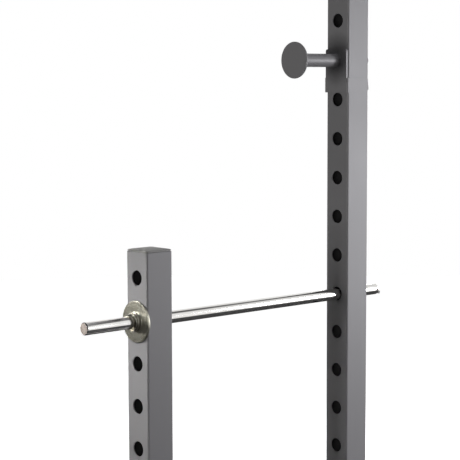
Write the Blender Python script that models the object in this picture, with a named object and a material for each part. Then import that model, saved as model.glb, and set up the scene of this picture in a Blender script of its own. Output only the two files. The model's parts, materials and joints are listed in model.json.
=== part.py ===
"""Half rack with an open front, two sliding safety rods and two bar catches.

Each side has a short front upright and a tall rear upright on a base rail.
Metres, +Z up, -Y is the front where the lifter walks in, origin at the middle
of the footprint on the floor. Run it with blender --background --python part.py
or from the text editor.
"""
import math

import bmesh
import bpy
from mathutils import Matrix, Vector

# Gap between pieces that touch
SEAT_GAP = 0.0003

# Square tube of the uprights and base rails
TUBE = 0.060
TUBE_WALL = 0.0025
TUBE_CORNER = 0.004

# Pin holes in the front and rear walls of the uprights
HOLE_PITCH = 0.080
HOLE_DIAMETER = 0.028
LOWEST_HOLE = 0.351
TOP_HOLE_MARGIN = 0.051
FRONT_LEVELS = 11
REAR_LEVELS = 22

# Layout of the four uprights and the rails
POST_SPACING = 0.5275
SIDE_SPACING = 1.120
RAIL_FRONT_REACH = 0.100
RAIL_REAR_REACH = 0.300

# Rubber feet under the rails
FOOT_HEIGHT = 0.014
FOOT_DIAMETER = 0.048
FOOT_STEM_DIAMETER = 0.010
FOOT_STEM_LENGTH = 0.009
FOOT_FROM_RAIL_END = 0.036
FOOT_TREAD_INSET = 0.002
FOOT_TREAD_RISE = 0.0035
FOOT_TOP_INSET = 0.003

# Plastic caps in the open tube ends
CAP_RIM = 0.003
CAP_DOME = 0.003
CAP_CROWN = 0.020
CAP_SKIRT_DEPTH = 0.018
CAP_SKIRT_WALL = 0.002

# Bolted plates, welded to the uprights' feet and the cross beams' ends
PLATE = 0.006
FOOT_PLATE_LENGTH = 0.150
FOOT_PLATE_OVERHANG = 0.001
FOOT_BOLT_OFFSET = 0.055
END_PLATE_LENGTH = 0.130
END_PLATE_OVERHANG = 0.003
UPPER_BOLT_OFFSET = 0.040
LOWER_BOLT_OFFSET = 0.045
VENT_DIAMETER = 0.012

# Cross beams between the two sides
BEAM = 0.050
BEAM_WALL = 0.002
BEAM_CORNER = 0.0035
LOWER_BEAM_FROM_RAIL_END = 0.120
UPPER_BEAM_LEVEL = 18
CHIN_BAR_LEVEL = 20
CHIN_BAR_DIAMETER = 0.032
CHIN_BAR_WALL = 0.003

# Through bolts with their nuts
BOLT_DIAMETER = 0.010
BOLT_ACROSS_FLATS = 0.017
BOLT_HEAD_HEIGHT = 0.0064
NUT_HEIGHT = 0.008
BOLT_TIP = 0.0025

# Safety rods
ROD_LEVEL = 9
ROD_DIAMETER = 0.024
ROD_FRONT_REACH = 0.122
ROD_REAR_REACH = 0.056
ROD_CHAMFER = 0.0016
FLANGE_DIAMETER = 0.078
FLANGE_THICKNESS = 0.004
FLANGE_RIM_ROUND = 0.001
HUB_DIAMETER = 0.036
HUB_LENGTH = 0.0055
COLLAR_DIAMETER = 0.030
COLLAR_LENGTH = 0.0045

# Drop tongue that locks a rod behind the rear upright
TONGUE_THICKNESS = 0.006
TONGUE_HEIGHT = 0.006
TONGUE_LENGTH = 0.021
TONGUE_TIP_ROUND = 0.0015
TONGUE_DROOP = math.radians(26)
TONGUE_PIVOT_INSET = 0.0055
TONGUE_PIN_DIAMETER = 0.004
TONGUE_PIN_LENGTH = 0.021
SLOT_SPARE = 0.0006

# Bar catches on the rear uprights
CATCH_LEVEL = 15
BRACKET_WIDTH = 0.058
BRACKET_FRONT_PLATE = 0.0045
BRACKET_ABOVE_PEG = 0.023
BRACKET_BELOW_PEG = 0.065
EAR_PLATE = 0.002
EAR_SIDE_GAP = 0.0004
EAR_HEIGHT = 0.030
EAR_INSET = 0.0003
EAR_REAR_SETBACK = 0.0016
EAR_REAR_LEAN = 0.003
EAR_BASE_RISE = 0.006
EAR_BASE_SLANT = 0.010
PEG_DIAMETER = 0.027
PEG_BORE = 0.014
DISC_DIAMETER = 0.073
DISC_THICKNESS = 0.004
DISC_EDGE_ROUND = 0.001
DISC_FROM_UPRIGHT = 0.125
CATCH_PIN_DIAMETER = 0.025
CATCH_PIN_REAR_REACH = 0.0235
CATCH_PIN_NOSE = 0.008

# Sides of the round shapes
HOLE_SIDES = 10
BOLT_HOLE_SIDES = 8
ROUND_SIDES = 16
DISC_SIDES = 24
FOOT_SIDES = 12
CORNER_STEPS = 2
FILLET_STEPS = 3
SHARP_EDGE = math.radians(30)

def bore_round(shaft_diameter, sides):
    """Diameter of a bore whose flat sides clear a shaft by the seat gap."""
    return (shaft_diameter + 2 * SEAT_GAP) / math.cos(math.pi / sides)


# Places that follow from the sizes above; front faces of the uprights are
# measured from the front uprights' front face before the part is centred
CAP_HEIGHT = CAP_RIM + CAP_DOME + SEAT_GAP
REAR_POST_FACE = POST_SPACING
REAR_POST_BACK = REAR_POST_FACE + TUBE
FRONT_END = -max(ROD_FRONT_REACH, RAIL_FRONT_REACH + CAP_HEIGHT)
REAR_END = max(REAR_POST_BACK + RAIL_REAR_REACH + CAP_HEIGHT, REAR_POST_BACK + ROD_REAR_REACH)
FRONT_FACE_Y = -(FRONT_END + REAR_END) / 2
REAR_FACE_Y = FRONT_FACE_Y + POST_SPACING
RAIL_START_Y = FRONT_FACE_Y - RAIL_FRONT_REACH
RAIL_STOP_Y = FRONT_FACE_Y + REAR_POST_BACK + RAIL_REAR_REACH
RAIL_CENTRE_Z = FOOT_HEIGHT + SEAT_GAP + TUBE / 2
RAIL_TOP_Z = RAIL_CENTRE_Z + TUBE / 2
FOOT_PLATE_Z = RAIL_TOP_Z + SEAT_GAP
BOLT_GRIP = TUBE + PLATE + 3 * SEAT_GAP
BOLT_HOLE_DIAMETER = bore_round(BOLT_DIAMETER, BOLT_HOLE_SIDES)
LOWER_BEAM_Y = RAIL_STOP_Y - LOWER_BEAM_FROM_RAIL_END
CROSS_LENGTH = SIDE_SPACING - TUBE - 2 * SEAT_GAP


def level_height(level):
    """Height of a pin hole's centre, the lowest one being level 0."""
    return LOWEST_HOLE + level * HOLE_PITCH


def resting_drop(pin_diameter):
    """How far a pin's axis lies below the centre of the hole that it rests in."""
    half_side = math.cos(math.pi / HOLE_SIDES)
    return (HOLE_DIAMETER / 2 * half_side - pin_diameter / 2 - SEAT_GAP) / half_side


def clear_scene():
    for old in list(bpy.data.objects):
        bpy.data.objects.remove(old, do_unlink=True)


def make_material(name, colour, roughness, metallic):
    material = bpy.data.materials.new(name)
    material.use_nodes = True
    shader = material.node_tree.nodes["Principled BSDF"]
    shader.inputs["Base Color"].default_value = (*colour, 1.0)
    shader.inputs["Roughness"].default_value = roughness
    shader.inputs["Metallic"].default_value = metallic
    return material


def circle(radius, z, sides):
    """Points of a circle round the Z axis."""
    turns = [2 * math.pi * i / sides for i in range(sides)]
    return [Vector((radius * math.cos(t), radius * math.sin(t), z)) for t in turns]


def rounded_square(size, corner, z):
    """Points of a square with round corners, centred on the Z axis."""
    points = []
    reach = size / 2 - corner
    for quarter in range(4):
        start = quarter * math.pi / 2
        diagonal = start + math.pi / 4
        centre = Vector((math.copysign(reach, math.cos(diagonal)),
                         math.copysign(reach, math.sin(diagonal)), z))
        for step in range(CORNER_STEPS + 1):
            turn = start + step * math.pi / 2 / CORNER_STEPS
            points.append(centre + corner * Vector((math.cos(turn), math.sin(turn), 0)))
    return points


def filleted(corners, radii, steps=FILLET_STEPS):
    """An outline's corners rounded off, each by its own radius."""
    points = []
    count = len(corners)
    for i in range(count):
        corner = Vector(corners[i])
        if radii[i] == 0:
            points.append(corner)
            continue
        before = (Vector(corners[i - 1]) - corner).normalized()
        after = (Vector(corners[(i + 1) % count]) - corner).normalized()
        half = before.angle(after) / 2
        reach = radii[i] / math.tan(half)
        start = corner + before * reach
        middle = corner + (before + after).normalized() * (radii[i] / math.sin(half))
        stop = corner + after * reach
        for step in range(steps + 1):
            spoke = radii[i] * (start - middle).slerp(stop - middle, step / steps)
            points.append(middle + spoke)
    return points


def finish_mesh(name, bm):
    bmesh.ops.recalc_face_normals(bm, faces=bm.faces)
    mesh = bpy.data.meshes.new(name)
    bm.to_mesh(mesh)
    bm.free()
    mesh.shade_smooth()
    mesh.set_sharp_from_angle(angle=SHARP_EDGE)
    return mesh


def loft(name, loops, ring=False):
    """A solid through loops of equal count: capped at its ends, or closed on itself."""
    bm = bmesh.new()
    rows = [[bm.verts.new(point) for point in loop] for loop in loops]
    pairs = list(zip(rows, rows[1:]))
    if ring:
        pairs.append((rows[-1], rows[0]))
    else:
        bm.faces.new(rows[0])
        bm.faces.new(rows[-1])
    for low, high in pairs:
        for i in range(len(low)):
            j = (i + 1) % len(low)
            bm.faces.new((low[i], low[j], high[j], high[i]))
    return finish_mesh(name, bm)


def turned(name, profile, sides, ring=False):
    """A solid turned round Z from (radius, z) points."""
    return loft(name, [circle(radius, z, sides) for radius, z in profile], ring)


def square_tube(name, size, wall, corner, length):
    """A square tube, open at both ends, standing on the XY plane."""
    inner_size = size - 2 * wall
    inner_corner = max(corner - wall, wall / 4)
    loops = [rounded_square(size, corner, 0), rounded_square(size, corner, length),
             rounded_square(inner_size, inner_corner, length),
             rounded_square(inner_size, inner_corner, 0)]
    return loft(name, loops, ring=True)


def slab(name, outline, low, high):
    """An outline in the YZ plane, extruded from x = low to x = high."""
    bm = bmesh.new()
    face = bm.faces.new([bm.verts.new((low, y, z)) for y, z in outline])
    grown = bmesh.ops.extrude_face_region(bm, geom=[face])
    moved = [item for item in grown["geom"] if isinstance(item, bmesh.types.BMVert)]
    bmesh.ops.translate(bm, verts=moved, vec=(high - low, 0, 0))
    return finish_mesh(name, bm)


def block(name, low, high):
    """A box between two corners."""
    outline = [(low[1], low[2]), (high[1], low[2]), (high[1], high[2]), (low[1], high[2])]
    return slab(name, outline, low[0], high[0])


AXIS_TURNS = {
    "x": Matrix.Rotation(math.pi / 2, 4, "Y"),
    "y": Matrix.Rotation(-math.pi / 2, 4, "X"),
    "z": Matrix.Identity(4),
}


def bores(name, holes):
    """Round cutters, each given as centre, axis, diameter, length and sides."""
    bm = bmesh.new()
    for centre, axis, diameter, length, sides in holes:
        place = Matrix.Translation(centre) @ AXIS_TURNS[axis]
        bmesh.ops.create_cone(bm, cap_ends=True, segments=sides, radius1=diameter / 2,
                              radius2=diameter / 2, depth=length, matrix=place)
    return finish_mesh(name, bm)


def place(name, mesh, material=None, location=(0, 0, 0), rotation=(0, 0, 0), parent=None):
    piece = bpy.data.objects.new(name, mesh)
    bpy.context.collection.objects.link(piece)
    piece.location = location
    piece.rotation_euler = rotation
    piece.parent = parent
    if material is not None and not mesh.materials:
        mesh.materials.append(material)
    return piece


def shape_with(piece, tool_mesh, operation):
    """Join or cut a piece with a hidden tool that shares the piece's own frame."""
    tool = place(f"{piece.name}_{tool_mesh.name}", tool_mesh, parent=piece)
    tool.hide_render = True
    tool.display_type = "WIRE"
    boolean = piece.modifiers.new(tool_mesh.name, "BOOLEAN")
    boolean.operation = operation
    boolean.solver = "EXACT"
    boolean.object = tool


def pivot(name, location):
    """An empty that carries the pieces of one moving body."""
    empty = bpy.data.objects.new(name, None)
    bpy.context.collection.objects.link(empty)
    empty.location = location
    return empty


def upright(name, x, face_y, levels, cross_levels, paint):
    """Square tube with pin holes front and rear, welded on its foot plate."""
    top = level_height(levels - 1) + TOP_HOLE_MARGIN - CAP_RIM - SEAT_GAP
    tube_base = FOOT_PLATE_Z + PLATE / 2
    mesh = square_tube(name, TUBE, TUBE_WALL, TUBE_CORNER, top - tube_base)
    piece = place(name, mesh, paint, (x, face_y + TUBE / 2, tube_base))
    plate_low = FOOT_PLATE_Z - tube_base
    plate_half = TUBE / 2 + FOOT_PLATE_OVERHANG
    foot = block("foot_plate", (-plate_half, -FOOT_PLATE_LENGTH / 2, plate_low),
                 (plate_half, FOOT_PLATE_LENGTH / 2, plate_low + PLATE))
    shape_with(piece, foot, "UNION")
    through = 2 * TUBE
    holes = [((0, 0, level_height(k) - tube_base), "y", HOLE_DIAMETER, through, HOLE_SIDES)
             for k in range(levels)]
    for level in cross_levels:
        for offset in (-UPPER_BOLT_OFFSET, UPPER_BOLT_OFFSET):
            centre = (0, 0, level_height(level) + offset - tube_base)
            holes.append((centre, "x", BOLT_HOLE_DIAMETER, through, BOLT_HOLE_SIDES))
    for offset in (-FOOT_BOLT_OFFSET, FOOT_BOLT_OFFSET):
        centre = (0, offset, plate_low + PLATE / 2)
        holes.append((centre, "z", BOLT_HOLE_DIAMETER, 4 * PLATE, BOLT_HOLE_SIDES))
    shape_with(piece, bores("holes", holes), "DIFFERENCE")
    return top


def base_rail(name, x, paint):
    """Rail along the floor, bored for the uprights' bolts, the beam's bolts and its feet."""
    length = RAIL_STOP_Y - RAIL_START_Y
    mesh = square_tube(name, TUBE, TUBE_WALL, TUBE_CORNER, length)
    piece = place(name, mesh, paint, (x, RAIL_START_Y, RAIL_CENTRE_Z), (-math.pi / 2, 0, 0))
    through = 2 * TUBE
    holes = []
    for face_y in (FRONT_FACE_Y, REAR_FACE_Y):
        for offset in (-FOOT_BOLT_OFFSET, FOOT_BOLT_OFFSET):
            along = face_y + TUBE / 2 + offset - RAIL_START_Y
            holes.append(((0, 0, along), "y", BOLT_HOLE_DIAMETER, through, BOLT_HOLE_SIDES))
    for offset in (-LOWER_BOLT_OFFSET, LOWER_BOLT_OFFSET):
        along = LOWER_BEAM_Y + offset - RAIL_START_Y
        holes.append(((0, 0, along), "x", BOLT_HOLE_DIAMETER, through, BOLT_HOLE_SIDES))
    stem_hole = bore_round(FOOT_STEM_DIAMETER, BOLT_HOLE_SIDES)
    for along in (FOOT_FROM_RAIL_END, length - FOOT_FROM_RAIL_END):
        holes.append(((0, TUBE / 2, along), "y", stem_hole, TUBE / 2, BOLT_HOLE_SIDES))
    shape_with(piece, bores("holes", holes), "DIFFERENCE")


def cross_beam(name, mesh, centre, plate_along, bolt_offset, paint):
    """A beam from side to side with a bolted, vented plate welded on each end."""
    turned_up = Matrix.Translation((-CROSS_LENGTH / 2 + PLATE / 2, 0, 0)) @ AXIS_TURNS["x"]
    mesh.transform(turned_up)
    piece = place(name, mesh, paint, centre)
    half = {axis: BEAM / 2 + END_PLATE_OVERHANG for axis in "yz"}
    half[plate_along] = END_PLATE_LENGTH / 2
    holes = []
    for side in (-1, 1):
        outer = side * CROSS_LENGTH / 2
        inner = outer - side * PLATE
        low_x, high_x = sorted((outer, inner))
        plate = block(f"plate_{'left' if side < 0 else 'right'}",
                      (low_x, -half["y"], -half["z"]), (high_x, half["y"], half["z"]))
        shape_with(piece, plate, "UNION")
        middle = (outer + inner) / 2
        for offset in (-bolt_offset, bolt_offset):
            at = (middle, offset, 0) if plate_along == "y" else (middle, 0, offset)
            holes.append((at, "x", BOLT_HOLE_DIAMETER, 4 * PLATE, BOLT_HOLE_SIDES))
        holes.append(((middle, 0, 0), "x", VENT_DIAMETER, 4 * PLATE, BOLT_HOLE_SIDES))
    shape_with(piece, bores("holes", holes), "DIFFERENCE")


def cap_mesh():
    """Domed plastic cap whose skirt fits in the tube's open end."""
    skirt = TUBE - 2 * TUBE_WALL - 2 * SEAT_GAP
    skirt_corner = max(TUBE_CORNER - TUBE_WALL, TUBE_WALL / 4)
    hollow = skirt - 2 * CAP_SKIRT_WALL
    loops = [rounded_square(hollow, skirt_corner, SEAT_GAP),
             rounded_square(hollow, skirt_corner, -CAP_SKIRT_DEPTH),
             rounded_square(skirt, skirt_corner, -CAP_SKIRT_DEPTH),
             rounded_square(skirt, skirt_corner, SEAT_GAP),
             rounded_square(TUBE, TUBE_CORNER, SEAT_GAP),
             rounded_square(TUBE, TUBE_CORNER, SEAT_GAP + CAP_RIM)]
    crown = rounded_square(CAP_CROWN, TUBE_CORNER, SEAT_GAP + CAP_RIM + CAP_DOME)
    loops.append(crown)
    return loft("cap", loops)


def foot_mesh():
    """Round rubber foot with a stem pressed into the rail."""
    rim = FOOT_DIAMETER / 2
    stem = FOOT_STEM_DIAMETER / 2
    profile = [(rim - FOOT_TREAD_INSET, 0), (rim, FOOT_TREAD_RISE),
               (rim - FOOT_TOP_INSET, FOOT_HEIGHT),
               (stem, FOOT_HEIGHT), (stem, FOOT_HEIGHT + FOOT_STEM_LENGTH)]
    return turned("foot", profile, FOOT_SIDES)


def bolt_mesh():
    """Through bolt and nut as one solid, head at the bottom, shank up Z."""
    corner = BOLT_ACROSS_FLATS / 2 / math.cos(math.pi / 6)
    shank = BOLT_DIAMETER / 2
    stop = BOLT_GRIP + NUT_HEIGHT
    profile = [(corner, -BOLT_HEAD_HEIGHT), (corner, 0), (shank, 0), (shank, BOLT_GRIP),
               (corner, BOLT_GRIP), (corner, stop), (shank, stop), (shank, stop + BOLT_TIP)]
    return turned("bolt", profile, 6)


def frame(paint, plastic, rubber, plated):
    """Everything that stays bolted together."""
    cap = cap_mesh()
    foot = foot_mesh()
    bolt = bolt_mesh()
    cross_levels = (UPPER_BEAM_LEVEL, CHIN_BAR_LEVEL)
    for side, sign in (("left", -1), ("right", 1)):
        x = sign * SIDE_SPACING / 2
        base_rail(f"base_rail_{side}", x, paint)
        posts = (("front", FRONT_FACE_Y, FRONT_LEVELS, ()),
                 ("rear", REAR_FACE_Y, REAR_LEVELS, cross_levels))
        for row, face_y, levels, crossings in posts:
            middle_y = face_y + TUBE / 2
            top = upright(f"{row}_upright_{side}", x, face_y, levels, crossings, paint)
            place(f"{row}_upright_cap_{side}", cap, plastic, (x, middle_y, top))
            bolts = (("a", -FOOT_BOLT_OFFSET), ("b", FOOT_BOLT_OFFSET))
            for letter, offset in bolts:
                place(f"{row}_foot_bolt_{side}_{letter}", bolt, plated,
                      (x, middle_y + offset, FOOT_PLATE_Z + PLATE + SEAT_GAP), (math.pi, 0, 0))
        place(f"rail_front_cap_{side}", cap, plastic, (x, RAIL_START_Y, RAIL_CENTRE_Z),
              (math.pi / 2, 0, 0))
        place(f"rail_rear_cap_{side}", cap, plastic, (x, RAIL_STOP_Y, RAIL_CENTRE_Z),
              (-math.pi / 2, 0, 0))
        place(f"front_foot_{side}", foot, rubber, (x, RAIL_START_Y + FOOT_FROM_RAIL_END, 0))
        place(f"rear_foot_{side}", foot, rubber, (x, RAIL_STOP_Y - FOOT_FROM_RAIL_END, 0))
        outer_x = x + sign * (TUBE / 2 + SEAT_GAP)
        turn = (0, -sign * math.pi / 2, 0)
        post_y = REAR_FACE_Y + TUBE / 2
        for letter, direction in (("a", -1), ("b", 1)):
            place(f"lower_beam_bolt_{side}_{letter}", bolt, plated,
                  (outer_x, LOWER_BEAM_Y + direction * LOWER_BOLT_OFFSET, RAIL_CENTRE_Z), turn)
            place(f"upper_beam_bolt_{side}_{letter}", bolt, plated,
                  (outer_x, post_y, level_height(UPPER_BEAM_LEVEL)
                   + direction * UPPER_BOLT_OFFSET), turn)
            place(f"chin_bar_bolt_{side}_{letter}", bolt, plated,
                  (outer_x, post_y, level_height(CHIN_BAR_LEVEL)
                   + direction * UPPER_BOLT_OFFSET), turn)
    inside = CROSS_LENGTH - PLATE
    post_y = REAR_FACE_Y + TUBE / 2
    lower = square_tube("rear_lower_beam", BEAM, BEAM_WALL, BEAM_CORNER, inside)
    cross_beam("rear_lower_beam", lower, (0, LOWER_BEAM_Y, RAIL_CENTRE_Z), "y",
               LOWER_BOLT_OFFSET, paint)
    upper = square_tube("upper_beam", BEAM, BEAM_WALL, BEAM_CORNER, inside)
    cross_beam("upper_beam", upper, (0, post_y, level_height(UPPER_BEAM_LEVEL)), "z",
               UPPER_BOLT_OFFSET, paint)
    outer = CHIN_BAR_DIAMETER / 2
    bore = outer - CHIN_BAR_WALL
    chin = turned("chin_bar", [(outer, 0), (outer, inside), (bore, inside), (bore, 0)],
                  ROUND_SIDES, ring=True)
    cross_beam("chin_bar", chin, (0, post_y, level_height(CHIN_BAR_LEVEL)), "z",
               UPPER_BOLT_OFFSET, paint)


def rod_mesh():
    """Plain round rod along Z, chamfered at both ends."""
    radius = ROD_DIAMETER / 2
    stop = REAR_POST_BACK + ROD_REAR_REACH
    profile = [(radius - ROD_CHAMFER, -ROD_FRONT_REACH), (radius, -ROD_FRONT_REACH + ROD_CHAMFER),
               (radius, stop - ROD_CHAMFER), (radius - ROD_CHAMFER, stop)]
    return turned("rod", profile, ROUND_SIDES)


def flange_mesh():
    """Stop flange with its stepped hub, turned in one piece, in front of z = 0."""
    bore = bore_round(ROD_DIAMETER, DISC_SIDES) / 2
    rim = FLANGE_DIAMETER / 2
    hub = HUB_DIAMETER / 2
    collar = COLLAR_DIAMETER / 2
    back = -SEAT_GAP
    front = back - FLANGE_THICKNESS
    hub_front = front - HUB_LENGTH
    collar_front = hub_front - COLLAR_LENGTH
    profile = [(bore, back), (rim - FLANGE_RIM_ROUND, back), (rim, back - FLANGE_RIM_ROUND),
               (rim, front + FLANGE_RIM_ROUND), (rim - FLANGE_RIM_ROUND, front), (hub, front),
               (hub, hub_front), (collar, hub_front), (collar, collar_front),
               (bore, collar_front)]
    return turned("flange", profile, DISC_SIDES, ring=True)


def tongue_mesh():
    """Flat tongue in line with +Y, pivoting at the origin, round at its pivot end."""
    half = TONGUE_HEIGHT / 2
    corners = [(-half, -half), (TONGUE_LENGTH, -half), (TONGUE_LENGTH, half), (-half, half)]
    round_end = half - SEAT_GAP / 4
    radii = (round_end, TONGUE_TIP_ROUND, TONGUE_TIP_ROUND, round_end)
    outline = filleted(corners, radii)
    return slab("tongue", outline, -TONGUE_THICKNESS / 2, TONGUE_THICKNESS / 2)


def safety_rod(side, x, chrome, zinc, steel):
    """Sliding rod with its stop flange and the drop tongue in its rear end."""
    axis_z = level_height(ROD_LEVEL) - resting_drop(ROD_DIAMETER)
    carrier = pivot(f"rod_slide_{side}", (x, FRONT_FACE_Y, axis_z))
    along = (-math.pi / 2, 0, 0)
    stop = REAR_POST_BACK + ROD_REAR_REACH
    hinge = stop - TONGUE_PIVOT_INSET
    rod = place(f"safety_rod_{side}", rod_mesh(), chrome, rotation=along, parent=carrier)
    slot_half = TONGUE_THICKNESS / 2 + SEAT_GAP
    slot_start = hinge - TONGUE_HEIGHT / 2 - SLOT_SPARE
    slot = block("tongue_slot", (-slot_half, -ROD_DIAMETER, slot_start),
                 (slot_half, ROD_DIAMETER, stop + ROD_DIAMETER))
    shape_with(rod, slot, "DIFFERENCE")
    pin_hole = bore_round(TONGUE_PIN_DIAMETER, BOLT_HOLE_SIDES)
    fork_bore = bores("pin_bore", [((0, 0, hinge), "x", pin_hole, 2 * ROD_DIAMETER,
                                    BOLT_HOLE_SIDES)])
    shape_with(rod, fork_bore, "DIFFERENCE")
    place(f"rod_flange_{side}", flange_mesh(), zinc, rotation=along, parent=carrier)
    tongue_pivot = pivot(f"tongue_pivot_{side}", (0, hinge, 0))
    tongue_pivot.parent = carrier
    tongue = place(f"lock_tongue_{side}", tongue_mesh(), steel, rotation=(-TONGUE_DROOP, 0, 0),
                   parent=tongue_pivot)
    tongue_bore = bores("pin_bore", [((0, 0, 0), "x", pin_hole, 2 * TONGUE_THICKNESS,
                                      BOLT_HOLE_SIDES)])
    shape_with(tongue, tongue_bore, "DIFFERENCE")
    pin_half = TONGUE_PIN_LENGTH / 2
    pin_radius = TONGUE_PIN_DIAMETER / 2
    pin = turned("tongue_pin", [(pin_radius, -pin_half), (pin_radius, pin_half)], BOLT_HOLE_SIDES)
    place(f"tongue_pin_{side}", pin, steel, (0, hinge, 0), (0, math.pi / 2, 0), carrier)


def bracket(name, paint, carrier):
    """Front plate behind the peg, with ears that guide it on the upright's sides."""
    front = -SEAT_GAP - BRACKET_FRONT_PLATE
    low = -BRACKET_BELOW_PEG
    plate = [(front, low), (BRACKET_FRONT_PLATE, low), (BRACKET_FRONT_PLATE, BRACKET_ABOVE_PEG),
             (front, BRACKET_ABOVE_PEG)]
    plate_half = BRACKET_WIDTH / 2
    piece = place(name, slab(name, plate, -plate_half, plate_half), paint, parent=carrier)
    inner_half = TUBE / 2 + EAR_SIDE_GAP
    ear_half = inner_half + EAR_PLATE
    ear_front = front + EAR_INSET
    ear_low = low + EAR_INSET
    ear_top = low + EAR_HEIGHT
    rear = TUBE - EAR_REAR_SETBACK
    ear = [(ear_front, ear_low), (rear - EAR_BASE_SLANT, ear_low), (rear, low + EAR_BASE_RISE),
           (rear - EAR_REAR_LEAN, ear_top), (ear_front, ear_top)]
    ears = slab("ears", ear, -ear_half, ear_half)
    shape_with(piece, ears, "UNION")
    channel = block("channel", (-inner_half, -SEAT_GAP, low - TUBE),
                    (inner_half, 2 * TUBE, BRACKET_ABOVE_PEG + TUBE))
    shape_with(piece, channel, "DIFFERENCE")
    hole = bore_round(CATCH_PIN_DIAMETER, ROUND_SIDES)
    pin_bore = bores("pin_bore", [((0, front, 0), "y", hole, 4 * BRACKET_FRONT_PLATE,
                                   ROUND_SIDES)])
    shape_with(piece, pin_bore, "DIFFERENCE")


def bar_catch(side, x, paint):
    """Bracket, peg, end disc and the pin that hooks through the upright."""
    axis_z = level_height(CATCH_LEVEL) - resting_drop(CATCH_PIN_DIAMETER)
    carrier = pivot(f"catch_slide_{side}", (x, REAR_FACE_Y, axis_z))
    along = (-math.pi / 2, 0, 0)
    bracket(f"catch_bracket_{side}", paint, carrier)
    bracket_face = -SEAT_GAP - BRACKET_FRONT_PLATE
    peg_radius = PEG_DIAMETER / 2
    peg_back = bracket_face - SEAT_GAP
    disc_back = -DISC_FROM_UPRIGHT + DISC_THICKNESS
    peg_front = disc_back + SEAT_GAP
    peg_profile = [(peg_radius, peg_front), (peg_radius, peg_back),
                   (PEG_BORE / 2, peg_back), (PEG_BORE / 2, peg_front)]
    peg = turned("peg", peg_profile, ROUND_SIDES, ring=True)
    place(f"catch_peg_{side}", peg, paint, rotation=along, parent=carrier)
    disc_radius = DISC_DIAMETER / 2
    disc_face = disc_back - DISC_THICKNESS
    disc = turned("disc", [(disc_radius - DISC_EDGE_ROUND, disc_face),
                           (disc_radius, disc_face + DISC_EDGE_ROUND),
                           (disc_radius, disc_back - DISC_EDGE_ROUND),
                           (disc_radius - DISC_EDGE_ROUND, disc_back)], DISC_SIDES)
    place(f"catch_disc_{side}", disc, paint, rotation=along, parent=carrier)
    pin_radius = CATCH_PIN_DIAMETER / 2
    tip = TUBE + CATCH_PIN_REAR_REACH
    profile = [(pin_radius, bracket_face), (pin_radius, tip - CATCH_PIN_NOSE)]
    for turn in (math.radians(30), math.radians(65)):
        rise = CATCH_PIN_NOSE * (1 - math.sin(turn))
        profile.append((pin_radius * math.cos(turn), tip - rise))
    pin = turned("catch_pin", profile, ROUND_SIDES)
    place(f"catch_pin_{side}", pin, paint, rotation=along, parent=carrier)


def build():
    clear_scene()
    paint = make_material("grey_powder_coat", (0.17, 0.168, 0.178), 0.5, 0.1)
    plastic = make_material("grey_plastic_cap", (0.12, 0.12, 0.125), 0.55, 0.0)
    rubber = make_material("black_rubber", (0.02, 0.02, 0.02), 0.8, 0.0)
    plated = make_material("black_zinc_bolt", (0.06, 0.06, 0.065), 0.4, 0.8)
    chrome = make_material("polished_chrome", (0.75, 0.75, 0.74), 0.12, 1.0)
    zinc = make_material("turned_zinc", (0.55, 0.54, 0.47), 0.35, 1.0)
    steel = make_material("bare_steel", (0.5, 0.48, 0.46), 0.35, 1.0)
    frame(paint, plastic, rubber, plated)
    for side, sign in (("left", -1), ("right", 1)):
        x = sign * SIDE_SPACING / 2
        safety_rod(side, x, chrome, zinc, steel)
        bar_catch(side, x, paint)


build()
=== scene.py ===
"""Looks of the power rack: finer meshes and finishes round its fixed frame."""

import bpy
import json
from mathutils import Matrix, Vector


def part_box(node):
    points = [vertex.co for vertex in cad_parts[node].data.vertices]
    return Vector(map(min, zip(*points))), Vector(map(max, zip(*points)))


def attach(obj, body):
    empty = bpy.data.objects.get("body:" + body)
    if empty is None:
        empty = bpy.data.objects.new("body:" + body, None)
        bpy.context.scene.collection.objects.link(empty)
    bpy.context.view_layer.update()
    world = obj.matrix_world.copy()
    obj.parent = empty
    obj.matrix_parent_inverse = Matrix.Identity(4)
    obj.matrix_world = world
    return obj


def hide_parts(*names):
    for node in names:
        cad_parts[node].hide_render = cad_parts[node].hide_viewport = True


bl_info = {
    "name": "Power Rack Dressing",
    "version": (1, 0, 0),
    "blender": (4, 5, 0),
    "location": "3D View > Sidebar > Rack",
    "description": "Dresses the power rack's frame with detailed meshes, finishes and a stage",
    "category": "Object",
}
import json
import math

import bmesh
import bpy
from mathutils import Matrix, Vector

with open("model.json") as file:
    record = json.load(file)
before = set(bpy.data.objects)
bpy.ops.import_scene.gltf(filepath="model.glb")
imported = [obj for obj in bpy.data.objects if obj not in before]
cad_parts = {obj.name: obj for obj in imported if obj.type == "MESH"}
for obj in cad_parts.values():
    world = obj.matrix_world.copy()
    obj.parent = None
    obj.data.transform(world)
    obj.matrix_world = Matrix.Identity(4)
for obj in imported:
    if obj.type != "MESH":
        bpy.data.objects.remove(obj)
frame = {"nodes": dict(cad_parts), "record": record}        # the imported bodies, nodes, joints and record


def low(node):
    return Vector(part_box(node)[0])


def high(node):
    return Vector(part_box(node)[1])


def centre(node):
    return (low(node) + high(node)) / 2


def wide(node):
    return high(node).x - low(node).x


def deep(node):
    return high(node).y - low(node).y


def tall(node):
    return high(node).z - low(node).z


def end_of(node, outward):
    """Middle of the side of a node's box that looks in a direction."""
    corners = {1: high(node), -1: low(node), 0: centre(node)}
    return Vector([corners[int(way)][i] for i, way in enumerate(outward)])


def side_x(side):
    return centre(f"front_upright_cap_{side}").x


def aimed(direction):
    """Turn that takes +Z to a direction."""
    return UP.rotation_difference(Vector(direction)).to_matrix().to_4x4()


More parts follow.
